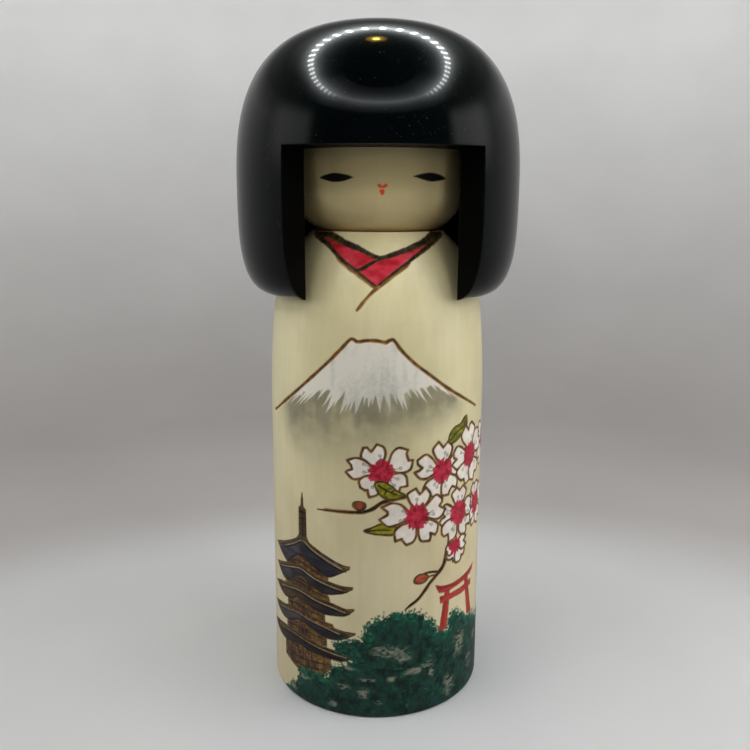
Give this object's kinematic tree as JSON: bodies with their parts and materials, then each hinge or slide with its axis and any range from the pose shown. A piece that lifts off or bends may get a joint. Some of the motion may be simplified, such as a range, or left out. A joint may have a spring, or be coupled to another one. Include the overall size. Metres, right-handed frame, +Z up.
{
  "type": "kokeshi doll",
  "caption": "Turned wooden doll with a bobbed black hair cap, a face block set inside it and a painted, engraved cylindrical body; the head turns on a dowel in the neck.",
  "frame": {"origin": "middle of the flat base, on the surface the doll stands on", "axes": "+Z up along the doll's own axis, the face looks towards -Y, +X is to the right of someone who looks at the face"},
  "size_m": [0.116, 0.1156, 0.28],
  "materials": {
    "body_paint": "cream paint with engraved outlines under clear satin lacquer",
    "face_paint": "cream paint, satin",
    "black_lacquer": "glossy black lacquer",
    "bare_wood": "bare beech"
  },
  "bodies": {
    "body": {"body": "body_paint", "neck_dowel": "bare_wood"},
    "head": {"face_block": "face_paint", "hair_cap": "black_lacquer"}
  },
  "joints": [
    {"name": "head_swivel", "type": "hinge", "parent": "body", "child": "head", "pos_m": [0, 0, 0.1996], "axis": [0, 0, 1], "continuous": true}
  ]
}
